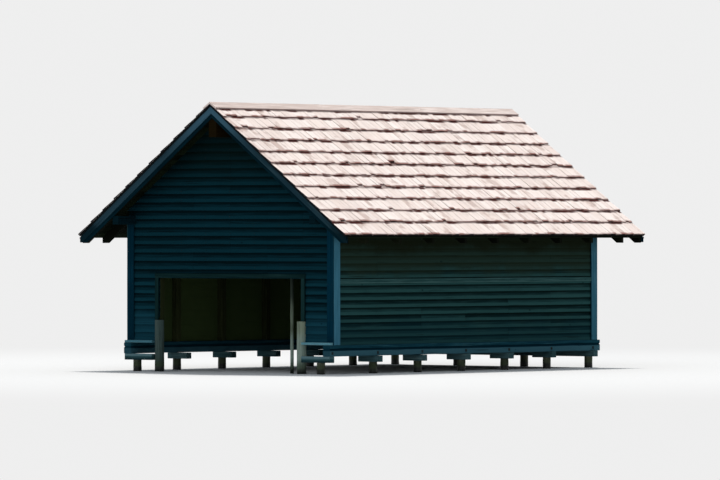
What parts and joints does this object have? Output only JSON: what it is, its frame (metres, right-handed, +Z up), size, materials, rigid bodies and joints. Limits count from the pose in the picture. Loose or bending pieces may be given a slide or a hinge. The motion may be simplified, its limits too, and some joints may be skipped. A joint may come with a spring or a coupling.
{
  "type": "boathouse",
  "caption": "Timber boathouse on piles: steep shingled gable roof with wide eaves, dark board walls and an open front gable that boats pass through.",
  "frame": {"origin": "centre of the plan at the water level, where the piles meet the water", "axes": "+Z up, +Y along the ridge from the open front gable towards the back, +X to the right wall"},
  "size_m": [6.54, 9.18, 5.04],
  "materials": {
    "shingles": "weathered silver grey shingles, sun bleached, with dark damp butts",
    "wall_boards": "dark teal stain, worn, matt",
    "trim_boards": "pale blue grey stain, worn, matt",
    "frame_timber": "rough sawn dark brown timber, matt",
    "roof_boarding": "rough sawn dark brown boards, matt",
    "sill_timber": "stained blue grey beam, worn edges, matt",
    "pile_timber": "weathered grey round wood, dark and green at the water",
    "pale_timber": "peeled pale grey round wood"
  },
  "bodies": {
    "root": {"back_cap": "sill_timber", "back_wall": "wall_boards", "back_wall_gable": "wall_boards", "bargeboard_back_left": "trim_boards", "bargeboard_back_right": "trim_boards", "bargeboard_front_left": "trim_boards", "bargeboard_front_right": "trim_boards", "braces": "frame_timber", "corner_boards": "trim_boards", "end_piles": "pile_timber", "foot_planks": "sill_timber", "front_caps": "sill_timber", "front_wall_gable": "wall_boards", "front_wall_left": "wall_boards", "front_wall_right": "wall_boards", "gable_corner_boards": "trim_boards", "gable_posts": "frame_timber", "head_board": "trim_boards", "header_beam": "frame_timber", "jamb_boards": "trim_boards", "jamb_piles": "pale_timber", "king_posts": "frame_timber", "mooring_post": "pale_timber", "pile_caps": "sill_timber", "piles_left": "pile_timber", "piles_right": "pile_timber", "posts_left": "frame_timber", "posts_right": "frame_timber", "rafters_left": "frame_timber", "rafters_right": "frame_timber", "ridge_board_left": "shingles", "ridge_board_right": "shingles", "ridge_purlin": "frame_timber", "roof_boarding_left": "roof_boarding", "roof_boarding_right": "roof_boarding", "shingles_left": "shingles", "shingles_right": "shingles", "side_wall_left": "wall_boards", "side_wall_right": "wall_boards", "sill_back": "sill_timber", "sill_left": "sill_timber", "sill_right": "sill_timber", "tie_beams": "frame_timber", "wall_bands": "trim_boards", "wall_plates": "frame_timber"}
  },
  "joints": []
}
